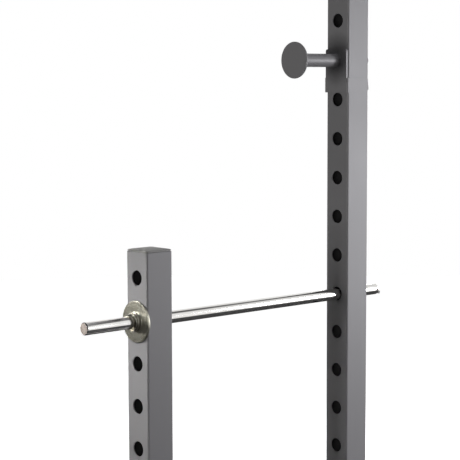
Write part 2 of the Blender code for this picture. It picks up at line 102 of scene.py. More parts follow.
# Directions, and the axes of an outline with the one that it is extruded along
SIDES = ("left", "right")
ACROSS, REAR, UP = Vector((1, 0, 0)), Vector((0, 1, 0)), Vector((0, 0, 1))
FRONT = Vector((0, -1, 0))
FROM_ABOVE = (ACROSS, REAR, UP)
FROM_FRONT = (ACROSS, UP, REAR)
FROM_SIDE = (REAR, UP, ACROSS)
TURN_TO_REAR = aimed(REAR)
TURN_ACROSS = aimed(ACROSS)

# Sizes read from the frame
TUBE = wide("front_upright_cap_left")
FRONT_FACE_Y = low("front_upright_cap_left").y
REAR_FACE_Y = low("rear_upright_cap_left").y
ROD_Z = centre("safety_rod_left").z
ROD_DIAMETER = tall("safety_rod_left")
PEG_Z = centre("catch_peg_left").z
ROOT = next(name for name, nodes in frame["record"]["behaviour"]["bodies"].items()
            if "base_rail_left" in nodes)

# Sizes that the frame does not tell
BEAM = 0.050
SEAT_GAP = 0.0003        # between a part and what it sits in
ROD_HOLE = 9             # counted from the lowest hole

# Photograph's camera, from the left front upright's rod hole on its front face
CAMERA_OFFSET = Vector((2.1643, -1.7215, 0.4435))
CAMERA_PITCH = 0.09954
CAMERA_YAW = 0.83661
CAMERA_ROLL = 0.0029
CAMERA_LENS = 118.7


def link(obj):
    bpy.context.scene.collection.objects.link(obj)
    return obj


def drop(obj):
    bpy.data.objects.remove(obj, do_unlink=True)


def smooth(mesh, angle=35):
    mesh.shade_smooth()
    mesh.set_sharp_from_angle(angle=math.radians(angle))
    return mesh


def baked(obj):
    """Plain mesh of an object with its modifiers, which is then dropped."""
    bpy.context.view_layer.update()
    graph = bpy.context.evaluated_depsgraph_get()
    mesh = bpy.data.meshes.new_from_object(
        obj.evaluated_get(graph), preserve_all_data_layers=True, depsgraph=graph)
    drop(obj)
    return mesh


def circle(radius, z, sides):
    turns = [2 * math.pi * i / sides for i in range(sides)]
    return [Vector((radius * math.cos(t), radius * math.sin(t), z)) for t in turns]


def rectangle(x0, y0, x1, y1):
    return [(x0, y0), (x1, y0), (x1, y1), (x0, y1)]


def rounded_square(size, corner, z, steps=6):
    points = []
    reach = size / 2 - corner
    for quarter in range(4):
        start = quarter * math.pi / 2
        diagonal = start + math.pi / 4
        middle = Vector((math.copysign(reach, math.cos(diagonal)),
                         math.copysign(reach, math.sin(diagonal)), z))
        for step in range(steps + 1):
            turn = start + step * math.pi / 2 / steps
            points.append(middle + corner * Vector((math.cos(turn), math.sin(turn), 0)))
    return points


def filleted(corners, radii, steps=6):
    """An outline's corners rounded off, each by its own radius."""
    points = []
    for i, place in enumerate(corners):
        corner = Vector(place)
        if radii[i] == 0:
            points.append(corner)
            continue
        before = (Vector(corners[i - 1]) - corner).normalized()
        after = (Vector(corners[(i + 1) % len(corners)]) - corner).normalized()
        half = before.angle(after) / 2
        reach = radii[i] / math.tan(half)
        middle = corner + (before + after).normalized() * (radii[i] / math.sin(half))
        first = corner + before * reach - middle
        last = corner + after * reach - middle
        for step in range(steps + 1):
            points.append(middle + radii[i] * first.slerp(last, step / steps))
    return points


def round_rims(radius, start, stop, ease, inset, step):
    """Profile of a round bar or disc whose two rims are eased."""
    return [(radius - ease, start), (radius - ease * inset, start + ease * step),
            (radius, start + ease), (radius, stop - ease),
            (radius - ease * inset, stop - ease * step), (radius - ease, stop)]


def mesh_from(bm, name="solid"):
    bmesh.ops.recalc_face_normals(bm, faces=bm.faces)
    mesh = bpy.data.meshes.new(name)
    bm.to_mesh(mesh)
    bm.free()
    return smooth(mesh)


def loft(loops, ring=False):
    """A solid through loops of equal count, capped or closed on itself."""
    bm = bmesh.new()
    rows = [[bm.verts.new(point) for point in loop] for loop in loops]
    pairs = list(zip(rows, rows[1:]))
    if ring:
        pairs.append((rows[-1], rows[0]))
    else:
        bm.faces.new(rows[0])
        bm.faces.new(rows[-1])
    for first, second in pairs:
        for i in range(len(first)):
            j = (i + 1) % len(first)
            bm.faces.new((first[i], first[j], second[j], second[i]))
    return mesh_from(bm)


def turned(profile, sides=64, ring=False):
    return loft([circle(radius, z, sides) for radius, z in profile], ring)


def prism(outline, axes, start, stop):
    """An outline given in two axes, extruded along the third from start to stop."""
    first, second, third = axes
    return loft([[first * a + second * b + third * depth for a, b in outline]
                 for depth in (start, stop)])


def moved(mesh, *steps):
    """The mesh turned by each matrix and shifted by each place, in their order."""
    for step in steps:
        mesh.transform(step if isinstance(step, Matrix) else Matrix.Translation(step))
    return mesh


def combined(base, *tools):
    """Boolean of meshes, each tool given as (operation, mesh)."""
    body = link(bpy.data.objects.new("body", base))
    helpers = []
    for operation, mesh in tools:
        helpers.append(link(bpy.data.objects.new("tool", mesh)))
        boolean = body.modifiers.new(operation, "BOOLEAN")
        boolean.operation = operation
        boolean.solver = "EXACT"
        boolean.object = helpers[-1]
    mesh = baked(body)
    for helper in helpers:
        drop(helper)
    return mesh


def modified(mesh, kind, **settings):
    """The mesh as one modifier makes it."""
    body = link(bpy.data.objects.new("body", mesh))
    modifier = body.modifiers.new(kind, kind)
    for key, value in settings.items():
        setattr(modifier, key, value)
    return baked(body)


def eased(mesh, width):
    """The mesh with its sharp edges rounded and its flats kept flat."""
    mesh.shade_smooth()
    return modified(mesh, "BEVEL", width=width, segments=2, limit_method="ANGLE",
                    angle_limit=math.radians(40), harden_normals=True, miter_outer="MITER_ARC")


def rounded_plate(half_wide, half_long, corner, axes, start, stop):
    """Flat plate with round corners and eased edges, about the middle of two axes."""
    outline = filleted(rectangle(-half_wide, -half_long, half_wide, half_long),
                       [corner] * 4)
    return eased(prism(outline, axes, start, stop), sizes().edge)


def joined(*meshes):
    """Several meshes in one."""
    bm = bmesh.new()
    for mesh in meshes:
        bm.from_mesh(mesh)
    result = bpy.data.meshes.new("joined")
    bm.to_mesh(result)
    bm.free()
    return result


def piece(name, mesh, body, material, nodes):
    """A finished piece at the origin that rides on a body and stands for nodes."""
    mesh = modified(mesh, "WEIGHTED_NORMAL", keep_sharp=True, weight=70)
    mesh.name = name
    obj = link(bpy.data.objects.new(name, mesh))
    if material is not None:
        mesh.materials.clear()
        mesh.materials.append(material)
    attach(obj, body)
    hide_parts(*nodes)
    return obj


def painted(node, mesh, body=ROOT):
    """The fine piece of a node that wears the frame's powder coat."""
    return piece(f"{node}_fine", mesh, body, powder_coat(), [node])


# Node trees and what they share


def add(tree, kind, inputs=None, **settings):
    """A node with its settings, and its inputs as values or as sockets to link."""
    node = tree.nodes.new(kind)
    for key, value in settings.items():
        setattr(node, key, value)
    for key, value in (inputs or {}).items():
        if isinstance(value, bpy.types.NodeSocket):
            tree.links.new(value, node.inputs[key])
        else:
            node.inputs[key].default_value = value
    return node


def calc(tree, operation, *values):
    """Result of a sum on numbers or sockets."""
    return add(tree, "ShaderNodeMath", dict(enumerate(values)),
               operation=operation).outputs[0]


def vector_calc(tree, operation, inputs, output=0):
    return add(tree, "ShaderNodeVectorMath", inputs, operation=operation).outputs[output]


def ranged(tree, *values):
    """A value carried from one range to another, and held at its ends."""
    labels = ("Value", "From Min", "From Max", "To Min", "To Max")
    return add(tree, "ShaderNodeMapRange", dict(zip(labels, values))).outputs["Result"]


def mixed(tree, factor, first, second, kind="FLOAT"):
    return add(tree, "ShaderNodeMix", {"Factor": factor, "A": first, "B": second},
               data_type=kind).outputs["Result"]


def noise(tree, vector, scale, detail):
    return add(tree, "ShaderNodeTexNoise", {"Vector": vector, "Scale": scale,
                                            "Detail": detail}).outputs["Fac"]


def bumped(tree, height, distance):
    return add(tree, "ShaderNodeBump", {"Height": height, "Strength": 1.0,
                                        "Distance": distance}).outputs["Normal"]


def upward(tree, length):
    """Vector along Z."""
    return add(tree, "ShaderNodeCombineXYZ", {"Z": length}).outputs[0]


def new_tree(name, kind, inputs, outputs):
    """A tree with named sockets, and the sockets that its inputs come from."""
    tree = bpy.data.node_groups.new(name, kind)
    for in_out, sockets in (("INPUT", inputs), ("OUTPUT", outputs)):
        for label, form, *value in sockets:
            socket = tree.interface.new_socket(name=label, in_out=in_out,
                                               socket_type=f"NodeSocket{form}")
            if value:
                socket.default_value = value[0]
    return tree, add(tree, "NodeGroupInput").outputs


def built_once(name):
    """Lets a function build its tree only where no tree has that name yet."""
    def wrap(build):
        return lambda: bpy.data.node_groups.get(name) or build(name)
    return wrap


# Shader node groups and materials


@built_once("Fine Grain")
def grain_group(name):
    """Fine speckle: a colour, a roughness and a height that vary over a surface."""
    tree, source = new_tree(name, "ShaderNodeTree", [
        ("Vector", "Vector", (0, 0, 0)), ("Scale", "Float", 900.0),
        ("Colour", "Color", (0.5, 0.5, 0.5, 1)), ("Variation", "Float", 0.05),
        ("Roughness", "Float", 0.5), ("Roughness Variation", "Float", 0.1)],
        [("Colour", "Color"), ("Roughness", "Float"), ("Height", "Float")])
    fine = noise(tree, source["Vector"], source["Scale"], 3.0)
    broad = noise(tree, source["Vector"], 7.0, 4.0)
    spread = calc(tree, "SUBTRACT", calc(tree, "ADD", fine, broad), 1.0)
    tint = calc(tree, "MULTIPLY_ADD", spread, source["Variation"], 1.0)
    colour = vector_calc(tree, "SCALE", {0: source["Colour"], "Scale": tint})
    rough = calc(tree, "MULTIPLY_ADD", spread, source["Roughness Variation"],
                 source["Roughness"])
    add(tree, "NodeGroupOutput", {"Colour": colour, "Roughness": rough, "Height": fine})
    return tree


@built_once("Edge Mask")
def edge_group(name):
    """Mask that is 1 along convex edges, for the thin coat there and for painted highlights on turned
    metal.
    """
    tree, source = new_tree(name, "ShaderNodeTree", [
        ("Vector", "Vector", (0, 0, 0)), ("Radius", "Float", 0.0012),
        ("Breakup", "Float", 60.0)], [("Mask", "Float")])
    true = add(tree, "ShaderNodeNewGeometry").outputs["Normal"]
    rounded = add(tree, "ShaderNodeBevel", {"Radius": source["Radius"]}, samples=4)
    dot = vector_calc(tree, "DOT_PRODUCT", {0: true, 1: rounded.outputs["Normal"]}, "Value")
    edge = ranged(tree, dot, 0.995, 0.86, 0.0, 1.0)
    breakup = noise(tree, source["Vector"], source["Breakup"], 3.0)
    add(tree, "NodeGroupOutput", {"Mask": calc(tree, "MULTIPLY", edge, breakup)})
    return tree


@built_once("Turned Rings")
def rings_group(name):
    """Fine turned rings round the Y axis through a centre."""
    tree, source = new_tree(name, "ShaderNodeTree", [
        ("Vector", "Vector", (0, 0, 0)), ("Pitch", "Float", 0.0006)],
        [("Height", "Float"), ("Streak", "Float")])
    flat = vector_calc(tree, "MULTIPLY", {0: source["Vector"], 1: (1, 0, 1)})
    radius = vector_calc(tree, "LENGTH", {0: flat}, "Value")
    count = calc(tree, "DIVIDE", radius, source["Pitch"])
    wobble = add(tree, "ShaderNodeTexNoise", {"W": count, "Scale": 0.9, "Detail": 4.0},
                 noise_dimensions="1D").outputs["Fac"]
    wave = calc(tree, "SINE", calc(tree, "MULTIPLY", count, 2 * math.pi))
    height = calc(tree, "MULTIPLY_ADD", wave, 0.25, wobble)
    add(tree, "NodeGroupOutput", {"Height": height, "Streak": wobble})
    return tree


def new_material(name):
    """A material, its tree, and the place on the object that its patterns follow."""
    material = bpy.data.materials.new(name)
    material.use_nodes = True
    tree = material.node_tree
    return material, tree, add(tree, "ShaderNodeTexCoord").outputs["Object"]


def surface(tree, varying, constant):
    """Links a shader's varying inputs, and sets its constant ones on its own sockets."""
    shader = tree.nodes["Principled BSDF"]
    for key, socket in varying.items():
        tree.links.new(socket, shader.inputs[key])
    for key, value in constant.items():
        shader.inputs[key].default_value = value


def effect(tree, group, vector, values):
    """Outputs of a node group set in a material with its own values."""
    return add(tree, "ShaderNodeGroup", {"Vector": vector, **values}, node_tree=group).outputs


def edged(tree, place, colour, edge, edge_colour):
    """A colour that turns into another along the edges."""
    mask = effect(tree, edge_group(), place, {})["Mask"]
    amount = calc(tree, "MULTIPLY", mask, edge)
    return mixed(tree, amount, colour, (*edge_colour, 1), "RGBA")


def grained(name, colour, roughness, metallic=0.0, scale=900.0, variation=0.05,
            rough_variation=0.12, bump=0.00002, edge=0.0, edge_colour=(0.6, 0.6, 0.6),
            specular=0.5):
    """Painted, moulded or plated finish with grain and a lighter line on its edges."""
    if name in bpy.data.materials:
        return bpy.data.materials[name]
    material, tree, place = new_material(name)
    grain = effect(tree, grain_group(), place, {
        "Scale": scale, "Colour": (*colour, 1), "Variation": variation,
        "Roughness": roughness, "Roughness Variation": rough_variation})
    result = grain["Colour"]
    if edge:
        result = edged(tree, place, result, edge, edge_colour)
    surface(tree, {"Base Color": result, "Roughness": grain["Roughness"],
                   "Normal": bumped(tree, grain["Height"], bump)},
            {"Metallic": metallic, "Specular IOR Level": specular})
    return material


def turned_metal(name, colour, roughness, middle, pitch, bump, variation=0.2, edge=0.0):
    """Bare metal with turned rings round the Y axis through a point, with a painted near-white highlight
    on its edges.
    """
    material, tree, place = new_material(name)
    mapping = add(tree, "ShaderNodeMapping", {"Vector": place, "Location": -Vector(middle)})
    rings = effect(tree, rings_group(), mapping.outputs["Vector"], {"Pitch": pitch})
    grain = effect(tree, grain_group(), place, {"Scale": 260.0, "Colour": (*colour, 1),
                                                "Variation": variation})
    streak = ranged(tree, rings["Streak"], 0.3, 0.7, roughness * 0.7, roughness * 1.4)
    result = grain["Colour"]
    # Painted highlight: the edges turn near white, standing in for light caught on the rims
    if edge:
        result = edged(tree, place, result, edge, (0.92, 0.9, 0.84))
    surface(tree, {"Base Color": result, "Roughness": streak,
                   "Normal": bumped(tree, rings["Height"], bump)}, {"Metallic": 1.0})
    return material


def drawn_chrome(name, colour, roughness):
    """Polished bar with faint marks drawn along Y and a few smudges."""
    material, tree, place = new_material(name)
    stretch = add(tree, "ShaderNodeMapping", {"Vector": place, "Scale": (1, 0.012, 1)})
    lines = noise(tree, stretch.outputs["Vector"], 1400.0, 4.0)
    smudge = noise(tree, place, 34.0, 5.0)
    both = calc(tree, "MULTIPLY", lines, smudge)
    rough = ranged(tree, both, 0.1, 0.45, roughness * 0.6, roughness * 1.8)
    tint = ranged(tree, smudge, 0.0, 1.0, 0.9, 1.06)
    shade = vector_calc(tree, "SCALE", {0: tuple(colour), "Scale": tint})
    surface(tree, {"Base Color": shade, "Roughness": rough,
                   "Normal": bumped(tree, lines, 0.0000005)}, {"Metallic": 1.0})
    return material


# Geometry node trees


def geometry_tree(name, inputs):
    """A modifier's tree with its own inputs between its geometry and its material."""
    tree, source = new_tree(name, "GeometryNodeTree", [
        ("Geometry", "Geometry"), *inputs, ("Material", "Material")],
        [("Geometry", "Geometry")])
    tree.is_modifier = True
    return tree, source


def real(tree, instances):
    return add(tree, "GeometryNodeRealizeInstances", {"Geometry": instances}).outputs[0]


def at_points(tree, points, part, **turn_and_size):
    return add(tree, "GeometryNodeInstanceOnPoints",
               {"Points": points, "Instance": part, **turn_and_size}).outputs[0]


def cut(tree, body, tool):
    return add(tree, "GeometryNodeMeshBoolean", {"Mesh 1": body, "Mesh 2": tool},
               operation="DIFFERENCE", solver="EXACT").outputs["Mesh"]


def close_tree(tree, geometry, source):
    """Ends a tree in real geometry with its material set."""
    shaded = add(tree, "GeometryNodeSetMaterial", {"Geometry": real(tree, geometry),
                                                   "Material": source["Material"]})
    add(tree, "NodeGroupOutput", {"Geometry": shaded.outputs["Geometry"]})
    return tree


def grown(tree, start, values):
    """Plain mesh that a tree makes from a starting mesh and its named inputs."""
    carrier = link(bpy.data.objects.new("carrier", start))
    modifier = carrier.modifiers.new(tree.name, "NODES")
    modifier.node_group = tree
    for item in tree.interface.items_tree:
        if item.item_type == "SOCKET" and item.in_out == "INPUT" and item.name in values:
            modifier[item.identifier] = values[item.name]
    return baked(carrier)


@built_once("Perforated Tube")
def tube_tree(name):
    """Square tube with round corners and rows of pin holes through two walls."""
    tree, source = geometry_tree(name, [
        ("Width", "Float", 0.06), ("Wall", "Float", 0.0025), ("Corner", "Float", 0.004),
        ("Length", "Float", 1.0), ("Levels", "Int", 1), ("First Hole", "Float", 0.3),
        ("Pitch", "Float", 0.08), ("Hole Diameter", "Float", 0.028)])
    path = add(tree, "GeometryNodeCurvePrimitiveLine", {"End": upward(tree, source["Length"])})

    def shell(width, corner):
        outline = add(tree, "GeometryNodeCurvePrimitiveQuadrilateral",
                      {"Width": width, "Height": width})
        soft = add(tree, "GeometryNodeFilletCurve", {"Curve": outline.outputs["Curve"],
                                                     "Radius": corner, "Count": 6},
                   mode="POLY")
        return add(tree, "GeometryNodeCurveToMesh",
                   {"Curve": path.outputs["Curve"], "Profile Curve": soft.outputs["Curve"],
                    "Fill Caps": True}).outputs["Mesh"]

    outer = shell(source["Width"], source["Corner"])
    inner = shell(calc(tree, "MULTIPLY_ADD", source["Wall"], -2.0, source["Width"]),
                  calc(tree, "SUBTRACT", source["Corner"], source["Wall"]))
    below = upward(tree, calc(tree, "MULTIPLY", source["Width"], -0.5))
    longer = add(tree, "GeometryNodeTransform", {"Geometry": inner, "Scale": (1, 1, 1.5),
                                                 "Translation": below})
    hollow = cut(tree, outer, longer.outputs["Geometry"])
    marks = add(tree, "GeometryNodeMeshLine",
                {"Count": source["Levels"], "Start Location": upward(tree, source["First Hole"]),
                 "Offset": upward(tree, source["Pitch"])}, mode="OFFSET")
    punch = add(tree, "GeometryNodeMeshCylinder",
                {"Vertices": 40, "Radius": calc(tree, "MULTIPLY", source["Hole Diameter"], 0.5),
                 "Depth": calc(tree, "MULTIPLY", source["Width"], 2.0)})
    punches = at_points(tree, marks.outputs["Mesh"], punch.outputs["Mesh"],
                        Rotation=(math.pi / 2, 0, 0))
    return close_tree(tree, cut(tree, hollow, real(tree, punches)), source)


@built_once("Set Out")
def spread_tree(name):
    """Copies of one part at marked points, each turned so that its Z follows the mark."""
    tree, source = geometry_tree(name, [("Part", "Object"), ("Seed", "Int", 3),
                                        ("Twist", "Float", 0.0)])
    part = add(tree, "GeometryNodeObjectInfo", {"Object": source["Part"]})
    aim = add(tree, "GeometryNodeInputNamedAttribute", {"Name": "aim"},
              data_type="FLOAT_VECTOR")
    turn = add(tree, "FunctionNodeAlignRotationToVector",
               {"Vector": aim.outputs["Attribute"]}, axis="Z")
    draw = add(tree, "FunctionNodeRandomValue", {"Seed": source["Seed"]}, data_type="FLOAT")
    spin = upward(tree, calc(tree, "MULTIPLY", draw.outputs[1], source["Twist"]))
    own = add(tree, "FunctionNodeRotateRotation", {"Rotation": turn.outputs["Rotation"],
                                                   "Rotate By": spin}, rotation_space="LOCAL")
    spots = at_points(tree, source["Geometry"], part.outputs["Geometry"],
                      Rotation=own.outputs["Rotation"])
    return close_tree(tree, spots, source)


@built_once("Weld Bead")
def bead_tree(name):
    """Weld bead: overlapping ripples along a path."""
    tree, source = geometry_tree(name, [("Spacing", "Float", 0.0014), ("Size", "Float", 0.0022),
                                        ("Seed", "Int", 5)])
    path = add(tree, "GeometryNodeMeshToCurve", {"Mesh": source["Geometry"]})
    marks = add(tree, "GeometryNodeCurveToPoints", {"Curve": path.outputs["Curve"],
                                                    "Length": source["Spacing"]},
                mode="LENGTH").outputs
    ripple = add(tree, "GeometryNodeMeshIcoSphere", {"Radius": source["Size"],
                                                     "Subdivisions": 1})
    squeeze = add(tree, "FunctionNodeRandomValue", {"Seed": source["Seed"], 2: 0.88, 3: 1.12},
                  data_type="FLOAT").outputs[1]
    size = add(tree, "ShaderNodeCombineXYZ", {"X": squeeze, "Y": squeeze, "Z": 0.75})
    spots = at_points(tree, marks["Points"], ripple.outputs["Mesh"],
                      Rotation=marks["Rotation"], Scale=size.outputs[0])
    soft = add(tree, "GeometryNodeSetShadeSmooth", {"Geometry": real(tree, spots)})
    return close_tree(tree, soft.outputs["Geometry"], source)


def set_out(part_mesh, marks, material, twist=0.0):
    """Copies of a part at marks, each a point and the direction that the part faces there."""
    start = bpy.data.meshes.new("marks")
    start.from_pydata([point for point, aim in marks], [], [])
    aims = start.attributes.new("aim", "FLOAT_VECTOR", "POINT")
    for i, (point, aim) in enumerate(marks):
        aims.data[i].vector = aim
    master = link(bpy.data.objects.new("master", part_mesh))
    mesh = grown(spread_tree(), start, {"Part": master, "Twist": twist, "Material": material})
    drop(master)
    return mesh


def weld(loops, size):
    """Painted weld beads along closed loops of points."""
    path = bpy.data.meshes.new("path")
    points, edges = [], []
    for loop in loops:
        first = len(points)
        points.extend(loop)
        edges.extend((first + i, first + (i + 1) % len(loop)) for i in range(len(loop)))
    path.from_pydata(points, edges, [])
    return grown(bead_tree(), path, {"Size": size, "Spacing": size * 0.62,
                                     "Material": powder_coat()})


# Settings that a user would change


def length(name, text, value):
    return bpy.props.FloatProperty(name=name, description=text, default=value, min=0.0,
                                   unit="LENGTH", precision=4)


def paint_colour(name, text, value):
    return bpy.props.FloatVectorProperty(name=name, description=text, default=value, size=3,
                                         min=0.0, max=1.0, subtype="COLOR")


class RackSizes(bpy.types.PropertyGroup):
    wall: length("Tube wall", "Wall of the square tubes", 0.0025)
    corner: length("Tube corner", "Outer corner radius of the square tubes", 0.0034)
    hole: length("Pin hole", "Diameter of the uprights' pin holes", 0.028)
    pitch: length("Hole pitch", "Distance from one pin hole to the next", 0.080)
    lowest_hole: length("Lowest hole", "Height of the lowest pin hole", 0.351)
    plate: length("Plate", "Thickness of the bolted plates", 0.006)
    edge: length("Edge radius", "Rounding of cut steel edges", 0.0006)
    weld: length("Weld bead", "Radius of the weld beads", 0.0022)


class RackColours(bpy.types.PropertyGroup):
    paint: paint_colour("Paint", "Powder coat of the frame", (0.24, 0.236, 0.243))
    plastic: paint_colour("Caps", "Plastic of the caps", (0.235, 0.232, 0.222))
    rubber: paint_colour("Feet", "Rubber of the feet", (0.025, 0.025, 0.026))
    bolts: paint_colour("Bolts", "Plating of the bolts", (0.12, 0.12, 0.125))
    chrome: paint_colour("Rods", "Plating of the safety rods", (0.78, 0.77, 0.75))
    zinc: paint_colour("Flanges", "Plating of the rods' flanges", (0.39, 0.377, 0.316))
    steel: paint_colour("Tongues", "Dark steel of the tongues", (0.07, 0.068, 0.066))


def sizes():
    return bpy.context.scene.rack_sizes


def colours():
    return bpy.context.scene.rack_colours


def powder_coat():
    return grained("grey_powder_coat", colours().paint, 0.46, scale=1500.0, variation=0.04,
                   rough_variation=0.1, bump=0.000018, edge=0.12,
                   edge_colour=(0.33, 0.325, 0.34))


# Operators, one for each group of like pieces


class RACK_OT_stage(bpy.types.Operator):
    """Pale floor, white surround, soft lights and the photograph's camera."""
    bl_idname = "rack.stage"
    bl_label = "Stage"

    def execute(self, context):
        scene = context.scene
        scene.view_settings.view_transform = "Standard"
        self.camera(scene)
        self.surround(scene)
        self.floor()
        self.lamps()
        return {"FINISHED"}

    def camera(self, scene):
        data = bpy.data.cameras.new("photo_camera")
        data.lens = CAMERA_LENS
        data.sensor_width = 36.0
        data.dof.use_dof = False
        data.clip_end = 100.0
        camera = link(bpy.data.objects.new("photo_camera", data))
        hole_z = sizes().lowest_hole + ROD_HOLE * sizes().pitch
        camera.location = Vector((side_x("left"), FRONT_FACE_Y, hole_z)) + CAMERA_OFFSET
        camera.rotation_euler = (math.pi / 2 - CAMERA_PITCH, CAMERA_ROLL, CAMERA_YAW)
        scene.camera = camera

    def surround(self, scene):
        """White to the camera, and to polished steel only low down towards the rear."""
        world = bpy.data.worlds.new("surround")
        world.use_nodes = True
        tree = world.node_tree
        tree.nodes.clear()
        rays = add(tree, "ShaderNodeLightPath").outputs
        place = add(tree, "ShaderNodeTexCoord").outputs["Generated"]
        parts = add(tree, "ShaderNodeSeparateXYZ", {"Vector": place}).outputs
        left = ranged(tree, parts["X"], -0.3, 0.2, -0.03, 0.0)
        band = ranged(tree, calc(tree, "ADD", parts["Z"], left), 0.64, 0.76, 1.0, 0.06)
        rear = ranged(tree, parts["Y"], -0.15, 0.25, 0.08, 1.0)
        seen = calc(tree, "MULTIPLY", band, rear)
        glossy = mixed(tree, rays["Is Glossy Ray"], 0.03, seen)
        clear = calc(tree, "MAXIMUM", rays["Is Camera Ray"], rays["Is Transmission Ray"])
        light = add(tree, "ShaderNodeBackground", {"Color": (1, 1, 1, 1),
                                                   "Strength": mixed(tree, clear, glossy, 1.0)})
        add(tree, "ShaderNodeOutputWorld", {"Surface": light.outputs[0]})
        scene.world = world

    def floor(self):
        """A wide pale floor, white where no shadow falls; polished steel sees it dark near."""
        radius, drop_below = 9.0, 0.0005
        bm = bmesh.new()
        bmesh.ops.create_circle(bm, cap_ends=True, segments=96, radius=radius)
        mesh = mesh_from(bm, "floor")
        floor = link(bpy.data.objects.new("floor", mesh))
        floor.location.z = -drop_below
        material, tree, place = new_material("pale_floor")
        rays = add(tree, "ShaderNodeLightPath").outputs
        pale = mixed(tree, rays["Is Camera Ray"], 0.35, 0.82)
        shade = mixed(tree, rays["Is Glossy Ray"], pale, 0.08)
        colour = add(tree, "ShaderNodeCombineColor", {"Red": shade, "Green": shade,
                                                      "Blue": shade})
        around = add(tree, "ShaderNodeMapping", {"Vector": place,
                                                 "Location": (-side_x("left"), 0, 0)})
        away = vector_calc(tree, "LENGTH", {0: around.outputs["Vector"]}, "Value")
        rear = add(tree, "ShaderNodeSeparateXYZ", {"Vector": around.outputs["Vector"]})
        far = ranged(tree, away, 2.3, 3.0, 0.0, 0.95)
        behind = ranged(tree, rear.outputs["Y"], -0.5, 0.8, 0.05, 1.0)
        bright = calc(tree, "MULTIPLY", far, behind)
        polished = calc(tree, "MULTIPLY", bright, rays["Is Glossy Ray"])
        haze = ranged(tree, away, 1.2, 3.5, 0.7, 1.0)
        glow = calc(tree, "MULTIPLY_ADD", rays["Is Camera Ray"], haze, polished)
        surface(tree, {"Base Color": colour.outputs["Color"], "Emission Strength": glow},
                {"Roughness": 0.9, "Emission Color": (1, 1, 1, 1)})
        mesh.materials.append(material)

    def lamps(self):
        """A far lamp in front, a narrow one on the short uprights, and boxes all round."""
        x = side_x("left")
        warm, cool = (1.0, 0.99, 0.97), (0.97, 0.965, 1.0)
        boxes = [("far_front", (x, -2.9, 1.47), (x, REAR_FACE_Y, 1.45), (0.35, 1.0), 26.0,
                  180, warm),
                 ("near_front", (-1.3, -1.1, 1.35), (x, FRONT_FACE_Y, 1.0), (0.2, 0.3),
                  0.54, 35, warm),
                 ("side_box", (1.07, 1.77, 1.3), (x, 0.05, 1.15), (0.6, 1.1), 13.5, 115, cool),
                 ("rear_box", (-2.4, 3.3, 1.8), (0, 0, 1.0), (1.2, 1.8), 60.0, 180, cool),
                 ("right_box", (3.2, 1.6, 1.9), (0, 0, 1.0), (1.2, 1.8), 12.0, 180, cool),
                 ("top_box", (0.0, 0.0, 3.4), (0, 0, 0), (2.5, 2.5), 12.0, 180, cool)]
        for name, spot, aim, size, power, spread, colour in boxes:
            data = bpy.data.lights.new(name, "AREA")
            data.shape = "RECTANGLE"
            data.size, data.size_y = size
            data.energy = power
            data.color = colour
            data.spread = math.radians(spread)
            lamp = link(bpy.data.objects.new(name, data))
            lamp.location = spot
            away = Vector(aim) - Vector(spot)
            lamp.rotation_euler = away.to_track_quat("-Z", "Y").to_euler()
            lamp.visible_camera = False


class RACK_OT_uprights(bpy.types.Operator):
    """Four perforated uprights with welded foot plates."""
    bl_idname = "rack.uprights"
    bl_label = "Uprights"

    def execute(self, context):
        for side in SIDES:
            for row in ("front", "rear"):
                cap = f"{row}_upright_cap_{side}"
                self.upright(f"{row}_upright_{side}",
                             Vector((side_x(side), centre(cap).y, 0)))
        return {"FINISHED"}

    def upright(self, node, middle):
        size = sizes()
        base = low(node).z
        plate_top = base + size.plate
        tube_base = base + size.plate / 2
        tube = grown(tube_tree(), bpy.data.meshes.new("start"), {
            "Width": TUBE, "Wall": size.wall, "Corner": size.corner,
            "Length": high(node).z - tube_base, "Pitch": size.pitch,
            "Levels": int((high(node).z - size.lowest_hole) / size.pitch) + 1,
            "First Hole": size.lowest_hole - tube_base, "Hole Diameter": size.hole,
            "Material": powder_coat()})
        tube = moved(eased(tube, size.edge), (middle.x, middle.y, tube_base))
        corner = 0.008
        plate = rounded_plate(wide(node) / 2, deep(node) / 2, corner, FROM_ABOVE, base,
                              plate_top)
        moved(plate, middle)
        loop = [point + middle for point in rounded_square(TUBE, size.corner, plate_top)]
        post = painted(node, joined(tube, plate, weld([loop], size.weld)))
        self.painted_shade_inside(post.data, middle, plate_top + 0.002)

    def painted_shade_inside(self, mesh, middle, start):
        """Painted shade: near-black colour on the tube's inner faces, seen through its holes, standing in
        for the shade inside the tube.
        """
        # Painted shade: a near-black, barely reflecting colour in place of the shade that falls inside the
        # tube
        mesh.materials.append(grained("painted_shade_inside", (0.014, 0.0135, 0.013), 0.9, scale=300.0,
                                      variation=0.3, bump=0.00003, specular=0.05))
        reach = TUBE / 2 - sizes().wall + 0.0003
        for face in mesh.polygons:
            offset = face.center - middle
            if max(abs(offset.x), abs(offset.y)) < reach and face.center.z > start:
                face.material_index = 1


